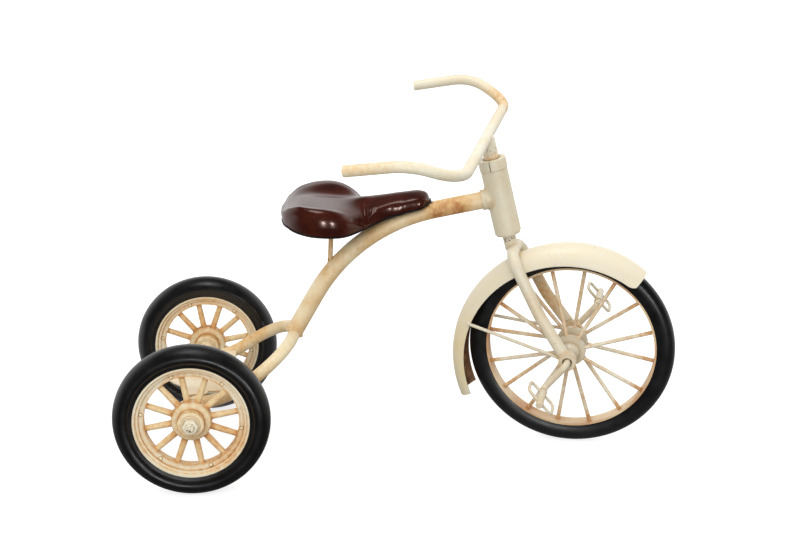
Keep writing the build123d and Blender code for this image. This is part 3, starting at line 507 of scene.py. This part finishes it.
# Handlebar
# One tube bent into a swept bar with a raised middle on each side, set through a stem that plugs into the
# steerer. The paint has yellowed at the grips and on the elbows, and the stem is stained above the collar.
bar_enamel = glazed_shaded_enamel(
    "cream_enamel_bar", "#E0DAC4", "#DDBC8A", 0.18,
    spots=(
        (at(245, -209, 471), 60 * MM, 0.32), (at(290, -215, 480), 50 * MM, 0.15),
        (at(478, 195, 468), 75 * MM, 0.72), (up_steering(292), 18 * MM, 0.7),
    ),
    marks=((up_steering(304), 16 * MM, 0.24),), corners=0.3,
)
dress(("handlebar", "bar_end_plugs", "stem"), bar_enamel)


# Front fender
# A strip of sheet steel rolled to an arch over the wheel, joined to the crown by a short boss and held by two
# stays. It is the cleanest cream outside and a little yellowed at the tail, and blotched brown inside, partly
# rust and partly painted shade under the arch.
def fender_paint():
    """Cream enamel outside and blotched brown inside, partly rust and partly painted shade, told apart by
    which way the sheet's wall faces.

    Outwards is the ray from the axle plus the sideways arm, over the fender's half width. A wall whose normal
    points against that is inside.
    """
    half_width, bloom_size = 27.6 * MM, 14 * MM
    material = glazed_shaded_enamel(
        "cream_enamel_fender", "#DFD6C0", "#E3D09A", 0.12, corners=0.3,
        spots=((front_axle + Vector((-0.165, 0.04, -0.02)), 125 * MM, 0.3),),
        marks=(
            (front_axle + Vector((0.108, -0.04, 0.12)), 8 * MM, 0.12),
            (front_axle + Vector((-0.13, 0, 0.115)), 9 * MM, 0.1),
        ),
    )
    tree = material.node_tree
    shader = next(node for node in tree.nodes if node.type == "BSDF_PRINCIPLED")
    coordinates = put(tree, "ShaderNodeTexCoord")
    place = coordinates.outputs["Object"]
    arm = put(tree, "ShaderNodeVectorMath", {0: place, 1: front_axle}, operation="SUBTRACT").outputs[0]
    lateral = put(tree, "ShaderNodeVectorMath", {0: arm, 1: front_direction}, operation="DOT_PRODUCT")
    sideways = put(
        tree, "ShaderNodeVectorMath", {0: front_direction, "Scale": lateral.outputs["Value"]},
        operation="SCALE",
    ).outputs[0]
    flat = put(tree, "ShaderNodeVectorMath", {0: arm, 1: sideways}, operation="SUBTRACT").outputs[0]
    ray = put(tree, "ShaderNodeVectorMath", {0: flat}, operation="NORMALIZE").outputs[0]
    spread = put(tree, "ShaderNodeVectorMath", {0: sideways, "Scale": 1 / half_width}, operation="SCALE")
    away = put(tree, "ShaderNodeVectorMath", {0: ray, 1: spread.outputs[0]}, operation="ADD").outputs[0]
    facing = put(
        tree, "ShaderNodeVectorMath", {0: coordinates.outputs["Normal"], 1: away}, operation="DOT_PRODUCT"
    ).outputs["Value"]
    inside = put(tree, "ShaderNodeMath", {0: facing, 1: 0.0}, operation="LESS_THAN").outputs[0]
    # Inside the arch: blotched brown, partly rust and partly painted shade
    rust_and_shade_bloom = put(tree, "ShaderNodeTexNoise", {"Vector": place, "Scale": 1 / bloom_size, "Detail": 5.0})
    rust = put(
        tree, "ShaderNodeValToRGB", {"Fac": rust_and_shade_bloom.outputs["Fac"]},
        stops=((0.3, linear("#5E3F26")), (0.55, linear("#8A6039")), (0.8, linear("#B89468"))),
    )
    outside = shader.inputs["Base Color"].links[0].from_socket
    paint = put(
        tree, "ShaderNodeMixRGB", {"Fac": inside, "Color1": outside, "Color2": rust.outputs["Color"]}
    )
    tree.links.new(paint.outputs["Color"], shader.inputs["Base Color"])
    return material


dress(("front_fender",), fender_paint())


# Front wheel
# A thin hoop of a rim carries two rows of wire spokes, brazed to it and to the flanges of a turned hub, under
# a round solid tyre. The rim has rusted brown and the spokes are stained where they are brazed.
dress(("front_tyre",), tyre_rubber)
front_rim_enamel = glazed_shaded_enamel("rusted_cream_rim", "#E0C8A0", "#CBA074", 0.8, corners=0.3)
dress(("front_rim",), front_rim_enamel)
front_enamel = glazed_shaded_enamel(
    "cream_enamel_front_wheel", "#E4DAC2", "#CFA878", 0.4, axle=(front_axle, front_direction),
    rings=((124 * MM, 28 * MM, 0.65), (30 * MM, 10 * MM, 0.25)), corners=0.35, grit=0.16,
)
dress(("front_spokes",), front_enamel)
front_hub_enamel = glazed_shaded_enamel("cream_enamel_front_hub", "#D2C8B0", "#B99C70", 0.25, corners=0.5)
dress(("front_hub",), front_hub_enamel)

# The wheel stands turned about the steering axis, and its spokes lean by turns from the left and right flange
steered = Matrix.Rotation(np.radians(-14.6), 3, steering_axis)
wheel_forward = steered @ Vector((1, 0, 0))
wheel_up = steered @ Vector((0, 0, 1))
wheel_left = steered @ Vector((0, 1, 0))
wire_count, first_wire, wire_radius = 16, -8, 2.9 * MM
flange_side, flange_radius, rim_side, rim_radius, rim_foot = 17, 23, 3, 123, 123.6
row = np.where(np.arange(wire_count) % 2 == 0, 1.0, -1.0)
wire_angles = np.radians(first_wire + 360 / wire_count * np.arange(wire_count))
slant = row * (rim_side - flange_side) / (rim_radius - flange_radius)
wire_feet = np.concatenate([
    rod_feet(
        front_axle, wheel_forward, wheel_up, wheel_left, wire_angles, row * side * MM, radius * MM, slant,
        wire_radius,
    )
    for side, radius in ((flange_side, flange_radius), (rim_side, rim_foot))
])
bead_mesh("front_spoke_braze", bead_along(wire_feet, 0.8 * MM), front_enamel, "front_wheel")


# Cranks and pedals
# One steel rod is bent into the axle and both cranks and turned down at its ends to the pedal pins. Each
# pedal is a sleeve with a loop of wire, held on by a pressed cap.
crank_enamel = glazed_shaded_enamel("cream_enamel_crank", "#D9D1BB", "#C6A676", 0.2, corners=0.5)
dress((
    "crank_axle", "pedal_washers", "pedal_caps", "pedal_barrel_left", "pedal_cage_left",
    "pedal_barrel_right", "pedal_cage_right",
), crank_enamel)


# Saddle
# Brown vinyl is drawn tight over foam on a pressed black pan and folded in under its edge. It has a raised
# lobe each side of a dished middle and a long narrow nose, and it creases where the lobes run into the nose.
def through(stations, places):
    """Smooth cubic through (place, value) stations, by Catmull-Rom tangents, read at the given places."""
    x, y = np.array(stations, float).T
    slope = np.gradient(y, x)
    i = np.clip(np.searchsorted(x, places) - 1, 0, len(x) - 2)
    step = x[i + 1] - x[i]
    t = (places - x[i]) / step
    return (
        (2 * t**3 - 3 * t**2 + 1) * y[i] + (t**3 - 2 * t**2 + t) * step * slope[i]
        + (3 * t**2 - 2 * t**3) * y[i + 1] + (t**3 - t**2) * step * slope[i + 1]
    )


def closed_mesh(name, rows, material):
    """Mesh of a grid of points that closes round its columns, with its first and last rows drawn to a fan."""
    count, around, _ = rows.shape
    points = np.concatenate([rows.reshape(-1, 3), rows[:1].mean(1), rows[-1:].mean(1)])
    row, column = np.meshgrid(np.arange(count - 1), np.arange(around), indexing="ij")
    a = row * around + column
    b = row * around + (column + 1) % around
    quads = np.stack([a, b, b + around, a + around], -1).reshape(-1, 4)
    ring = np.arange(around)
    following = (ring + 1) % around
    first = np.stack([following, ring, np.full(around, count * around)], -1)
    last = np.stack([ring, following, np.full(around, count * around + 1)], -1)
    last[:, :2] += (count - 1) * around
    mesh = bpy.data.meshes.new(name)
    mesh.from_pydata(points.tolist(), [], quads.tolist() + first.tolist() + last.tolist())
    mesh.polygons.foreach_set("use_smooth", np.ones(len(mesh.polygons), bool))
    mesh.materials.append(material)
    mesh.validate()
    piece = bpy.data.objects.new(name, mesh)
    bpy.context.scene.collection.objects.link(piece)
    return piece


# In millimetres: the tail's distance ahead of the rear axle, and then pairs of a distance forward from the
# tail and a half width, or the height above the floor of the underside, a lobe's crest or the middle
saddle_tail = 130.0
saddle_half = (
    (-2.5, 0), (0, 25), (9, 47), (30, 68), (60, 76), (86, 70), (112, 46), (140, 28), (175, 23), (202, 19.5),
    (213, 0),
)
saddle_floor = (
    (-2.5, 361), (0, 355), (9, 350), (30, 345), (60, 342), (86, 341), (112, 343.5), (140, 352), (175, 362),
    (202, 369), (213, 374),
)
saddle_right = (
    (-2.5, 361), (0, 369), (9, 377), (24, 383), (36, 382.5), (48, 381.5), (61, 380), (75, 376.5), (87, 371.5),
    (98, 365), (106, 358.5), (113, 351.5), (118, 350), (126, 364), (140, 371.5), (162, 377), (180, 380),
    (196, 382), (205, 381), (213, 374),
)
saddle_left = (
    (-2.5, 361), (0, 367), (5, 372), (12, 378), (22, 385), (35, 389.5), (48, 392), (62, 393), (76, 392.5),
    (91, 389), (101, 384.5), (108, 379.5), (114, 373), (119, 370), (126, 371.5), (140, 374), (162, 378),
    (180, 380), (196, 382), (205, 381), (213, 374),
)
saddle_middle = (
    (-2.5, 361), (0, 368.5), (9, 377), (22, 382.5), (35, 383.5), (60, 382), (86, 380), (112, 380.5),
    (140, 383.5), (175, 388), (202, 389), (210, 385), (213, 374),
)


def rounded(places, values, along):
    """Smooth curve through values, read as squares so that it rounds off at its ends as an ellipse does."""
    least_square = 0.3
    return np.sqrt(np.maximum(through(np.stack([places, values**2], 1), along), least_square))


def saddle_plan(along):
    """Half width and underside of the saddle at places along it."""
    place, value = np.array(saddle_half, float).T
    return rounded(place, value, along), through(saddle_floor, along)


def saddle_skin():
    """Rows of points over the saddle: a spline from edge to edge at each place, closed by a pocket below.

    From each edge the spline climbs a wall to the lobe's crest and slopes from there to the middle. The right
    lobe has settled lower than the left one. Small folds fan out from the waist, where lobes and nose meet,
    the nose's sides are faintly lumpy, and the top swells by a few tenths of a millimetre.
    """
    row_count, across_count, short_of_ends, vinyl = 240, 160, 0.02, 0.6
    first, last = saddle_half[0][0], saddle_half[-1][0]
    sweep = np.linspace(short_of_ends, np.pi - short_of_ends, row_count)
    along = first + (last - first) * (1 - np.cos(sweep)) / 2
    half, floor = saddle_plan(along)

    def height(stations):
        """Height of a line of stations over the underside."""
        place, value = np.array(stations, float).T
        return rounded(place, value - through(saddle_floor, place), along)

    right, left, middle = (height(stations) for stations in (saddle_right, saddle_left, saddle_middle))
    lip = 2.4
    edge = np.minimum(lip, 0.25 * right)
    # Shares of the half width, of the wall's height and of the slope to the middle, from the edge inwards
    right_spread = (0.97, 1.0, 0.972, 0.885, 0.7, 0.36)
    left_spread = (0.97, 1.0, 0.975, 0.9, 0.68, 0.3)
    wall = (0.0, 0.4, 0.8)
    right_slope = (0.0, 0.35, 0.72)
    left_slope = (0.16, 0.12, 0.95)
    across = np.concatenate([-np.array(right_spread), (0.0,), np.array(left_spread[::-1])])
    y = half[:, None] * across + np.sign(across) * vinyl
    up_right = [edge + share * (right - edge) for share in wall] + [
        right + share * (middle - right) for share in right_slope
    ]
    up_left = [edge + share * (left - edge) for share in wall] + [
        left + share * (middle - left) for share in left_slope
    ]
    z = np.stack(up_right + [middle] + up_left[::-1], 1)
    knots = np.array((0, 0.16, 0.29, 0.4, 0.56, 0.78, 1, 1.22, 1.44, 1.6, 1.71, 1.84, 2))
    t = np.linspace(0, 2, across_count)
    y = np.stack([through(np.stack([knots, row], 1), t) for row in y])
    z = np.stack([through(np.stack([knots, row], 1), t) for row in z])

    # From here a share is 0 on the middle line and 1 at the edges, and the flanks begin half way out
    share = np.abs(t - 1)
    outwards = np.sign(t - 1)
    flank_start, flank_ramp = 0.5, 0.2
    waist_place, waist_reach, fold_pitch, fold_lean, fold_out, fold_up = 125, 9.0, 7.0, 16, 0.7, 0.35
    waist = np.exp(-(((along - waist_place) / waist_reach) ** 2))[:, None]
    waist = waist * np.exp(-(((share - flank_start) / flank_ramp) ** 2))
    fold = np.sin(2 * np.pi * (along[:, None] + fold_lean * share) / fold_pitch)
    y -= outwards * fold_out * waist * fold
    z += fold_up * waist * fold
    nose_start, nose_ramp, lump_pitch, lump_height = 130, 20, 30.0, 0.4
    flank = np.clip((share - flank_start) / flank_ramp, 0, 1)
    nose = np.clip((along - nose_start) / nose_ramp, 0, 1)[:, None] * flank
    y += outwards * lump_height * nose * np.sin(2 * np.pi * along[:, None] / lump_pitch + 3.5 * share)
    swell_height, swell_reach, edge_fade, narrowest, widening = 0.3, 11.0, 0.3, 8, 12
    top = np.clip((1 - share) / edge_fade, 0, 1) * np.clip((half[:, None] - narrowest) / widening, 0, 1)
    z += swell_height * np.sin(along[:, None] / swell_reach + 1.1) * np.sin(5.2 * t + 0.4) * top
    z += floor[:, None] + vinyl

    pocket_depth = 2.2
    pocket_y = half[:, None] * np.array((0.93, 0.9, 0.4, -0.4, -0.9, -0.93))
    pocket_z = floor[:, None] + np.stack([edge] + [edge + pocket_depth] * 4 + [edge], 1)
    y = np.concatenate([y, pocket_y], 1)
    z = np.concatenate([z, np.minimum(pocket_z, z.max(1)[:, None] - 0.2)], 1)
    x = np.repeat(along[:, None] + saddle_tail, y.shape[1], 1)
    return np.stack([rear_middle.x + x * MM, rear_middle.y + y * MM, z * MM], -1)


def saddle_vinyl():
    """Glossy reddish brown vinyl, mottled in 22 mm clouds, with a grain drawn at 1.6 mm so that it shows."""
    mottle_size, grain_size = 22 * MM, 1.6 * MM
    material, tree, shader, place = blank_material("brown_saddle_vinyl")
    mottle = put(tree, "ShaderNodeTexNoise", {"Vector": place, "Scale": 1 / mottle_size, "Detail": 4.0})
    grain = put(
        tree, "ShaderNodeTexVoronoi", {"Vector": place, "Scale": 1 / grain_size}, feature="DISTANCE_TO_EDGE"
    )
    colour = put(
        tree, "ShaderNodeValToRGB", {"Fac": mottle.outputs["Fac"]},
        stops=((0.3, linear("#2C0E09")), (0.75, linear("#441A11"))),
    )
    bump = put(
        tree, "ShaderNodeBump",
        {"Height": grain.outputs["Distance"], "Strength": 0.04, "Distance": 0.1 * MM},
    )
    tree.links.new(colour.outputs["Color"], shader.inputs["Base Color"])
    tree.links.new(bump.outputs["Normal"], shader.inputs["Normal"])
    shader.inputs["Roughness"].default_value = 0.2
    shader.inputs["IOR"].default_value = 1.52
    # Brown wax polish warms what the vinyl mirrors
    shader.inputs["Specular Tint"].default_value = linear("#FFE4D8")
    return material


cover = closed_mesh("saddle_pad", saddle_skin(), saddle_vinyl())
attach(cover, "frame")
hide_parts("saddle_cover")

# Black stoving enamel on the pan, rubbed to brown in places. Its rolled edge shows under the vinyl
pan_enamel = blotched("black_pan_enamel", 9, 5.0, ((0.4, "#0D0B0B"), (0.72, "#241712")), 0.42)
dress(("saddle_pan", "saddle_clip"), pan_enamel)
edge_reach, edge_share, edge_rise, edge_count = 106.0, 0.965, 0.5, 90
edge_middle = (saddle_half[0][0] + saddle_half[-1][0]) / 2
edge_along = edge_middle - edge_reach * np.cos(np.linspace(0.05, np.pi - 0.05, edge_count))
edge_half, edge_floor = saddle_plan(edge_along)
edge_loop = np.stack([
    rear_middle.x + (np.concatenate([edge_along, edge_along[::-1]]) + saddle_tail) * MM,
    rear_middle.y + np.concatenate([-edge_half, edge_half[::-1]]) * edge_share * MM,
    (np.concatenate([edge_floor, edge_floor[::-1]]) + edge_rise) * MM,
], -1)
bead_mesh("pan_edge", bead_along(edge_loop[None], 0.8 * MM), pan_enamel, "frame")


# Studio
# A white floor and dome, brighter behind the tricycle than on the camera's side. A large soft lamp overhead
# and a fill from the front light every surface. A small overhead strip and two low lamps are only seen in
# what mirrors them, such as the two bright points on the saddle.
def stage_material():
    """White floor that is the white backdrop to the eye, fades in reflections and keeps a soft shadow."""
    matt_white = 0.4
    material, tree, shader, place = blank_material("white_studio_floor")
    shader.inputs["Roughness"].default_value = 0.9
    shader.inputs["Specular IOR Level"].default_value = 0.0
    path = put(tree, "ShaderNodeLightPath")
    mirrored = put(
        tree, "ShaderNodeMath",
        {0: path.outputs["Is Glossy Ray"], 1: path.outputs["Is Transmission Ray"]}, operation="MAXIMUM",
    ).outputs[0]
    matt = put(
        tree, "ShaderNodeMath", {0: mirrored, 1: -matt_white, 2: matt_white}, operation="MULTIPLY_ADD"
    ).outputs[0]
    parts = put(tree, "ShaderNodeSeparateXYZ", {"Vector": place})
    sideways = put(tree, "ShaderNodeMath", {0: parts.outputs["X"]}, operation="ABSOLUTE").outputs[0]
    far = put(
        tree, "ShaderNodeMath", {0: sideways, 1: 0.25, 2: parts.outputs["Y"]}, operation="MULTIPLY_ADD"
    ).outputs[0]
    behind = put(
        tree, "ShaderNodeMapRange",
        {"Value": far, "From Min": -0.3, "From Max": 0.7, "To Min": 0.02, "To Max": 0.95},
        interpolation_type="SMOOTHSTEP",
    ).outputs["Result"]
    backdrop = put(
        tree, "ShaderNodeMapRange",
        {"Value": parts.outputs["Y"], "From Min": 0.1, "From Max": 1.6, "To Min": 0.76, "To Max": 1.0},
    ).outputs["Result"]
    reflected = put(tree, "ShaderNodeMath", {0: mirrored, 1: behind}, operation="MULTIPLY").outputs[0]
    seen = put(
        tree, "ShaderNodeMath", {0: path.outputs["Is Camera Ray"], 1: backdrop}, operation="MULTIPLY"
    ).outputs[0]
    glow = put(tree, "ShaderNodeMath", {0: seen, 1: reflected}, operation="MAXIMUM").outputs[0]
    shader.inputs["Emission Color"].default_value = (1, 1, 1, 1)
    tree.links.new(matt, shader.inputs["Base Color"])
    tree.links.new(glow, shader.inputs["Emission Strength"])
    return material


floor_reach = 14.0
floor_mesh = bpy.data.meshes.new("studio_floor")
floor_corners = [(x * floor_reach, y * floor_reach, 0) for x, y in ((-1, -1), (1, -1), (1, 1), (-1, 1))]
floor_mesh.from_pydata(floor_corners, [], [(0, 1, 2, 3)])
floor_mesh.materials.append(stage_material())
floor = bpy.data.objects.new("studio_floor", floor_mesh)
bpy.context.scene.collection.objects.link(floor)

world = bpy.data.worlds.new("white_dome")
world.use_nodes = True
dome = world.node_tree
dome.nodes.clear()
dome_path = put(dome, "ShaderNodeLightPath")
dome_place = put(dome, "ShaderNodeTexCoord")
dome_way = put(dome, "ShaderNodeSeparateXYZ", {"Vector": dome_place.outputs["Generated"]})
dome_back = put(
    dome, "ShaderNodeMapRange",
    {"Value": dome_way.outputs["Y"], "From Min": -0.2, "From Max": 0.5, "To Min": 0.04, "To Max": 1.0},
    interpolation_type="SMOOTHSTEP",
).outputs["Result"]
dome_low = put(
    dome, "ShaderNodeMapRange",
    {"Value": dome_way.outputs["Z"], "From Min": 0.45, "From Max": 0.8, "To Min": 1.15, "To Max": 0.1},
    interpolation_type="SMOOTHSTEP",
).outputs["Result"]
dome_seen = put(dome, "ShaderNodeMath", {0: dome_back, 1: dome_low}, operation="MULTIPLY").outputs[0]
dome_matt = put(
    dome, "ShaderNodeMath", {0: dome_path.outputs["Is Diffuse Ray"], 1: 0.78}, operation="MULTIPLY"
).outputs[0]
dome_lit = put(dome, "ShaderNodeMath", {0: dome_seen, 1: dome_matt}, operation="MAXIMUM").outputs[0]
dome_strength = put(
    dome, "ShaderNodeMath", {0: dome_lit, 1: dome_path.outputs["Is Camera Ray"]}, operation="MAXIMUM"
).outputs[0]
dome_light = put(dome, "ShaderNodeBackground", {"Color": (1, 1, 1, 1), "Strength": dome_strength})
put(dome, "ShaderNodeOutputWorld", {"Surface": dome_light.outputs["Background"]})
bpy.context.scene.world = world


def soft_lamp(name, place, aim, size, power, mirrored):
    """Square area lamp at a place, facing a point. It either lights surfaces or only shows in them."""
    lamp = bpy.data.lights.new(name, "AREA")
    lamp.size = size
    lamp.energy = power
    holder = bpy.data.objects.new(name, lamp)
    holder.location = place
    holder.rotation_euler = (Vector(aim) - Vector(place)).to_track_quat("-Z", "Y").to_euler()
    holder.visible_glossy = mirrored
    holder.visible_diffuse = not mirrored
    bpy.context.scene.collection.objects.link(holder)


soft_lamp("overhead_softbox", (0.3, 0.1, 2.6), (0, 0, 0.2), 1.9, 20, mirrored=False)
soft_lamp("front_fill", (-0.5, -2.6, 1.9), (0, 0, 0.25), 1.8, 46, mirrored=False)
soft_lamp("overhead_strip", (-0.3, -0.3, 2.2), (-0.1, 0, 0.35), 0.65, 7, mirrored=True)
soft_lamp("left_point", (-0.15, -2.2, 0.2), (-0.1, 0, 0.36), 0.16, 8, mirrored=True)
soft_lamp("right_point", (0.75, -2.1, 0.2), (-0.1, 0, 0.36), 0.16, 8, mirrored=True)


# Camera
# It stands where the photograph was taken from: a long lens a little above the saddle, almost square to the
# tricycle's side. Its place and angles were fitted to the outlines of the three wheels.
camera_lens = bpy.data.cameras.new("photo_camera")
camera_lens.lens = 68.16
camera_lens.sensor_width = 36.0
azimuth, elevation, roll = np.radians((-2.785, 16.714, -0.478))
back = Vector((
    np.sin(azimuth) * np.cos(elevation), -np.cos(azimuth) * np.cos(elevation), np.sin(elevation)
))
level_right = back.cross(Vector((0, 0, 1))).normalized() * -1
upright = back.cross(level_right)
right = level_right * np.cos(roll) + upright * np.sin(roll)
up = upright * np.cos(roll) - level_right * np.sin(roll)
camera = bpy.data.objects.new("photo_camera", camera_lens)
stand = Matrix.Translation(at(195.75, -2124.69, 915.605))
camera.matrix_world = stand @ Matrix((right, up, back)).transposed().to_4x4()
bpy.context.scene.collection.objects.link(camera)
bpy.context.scene.camera = camera
bpy.context.scene.view_settings.view_transform = "Standard"
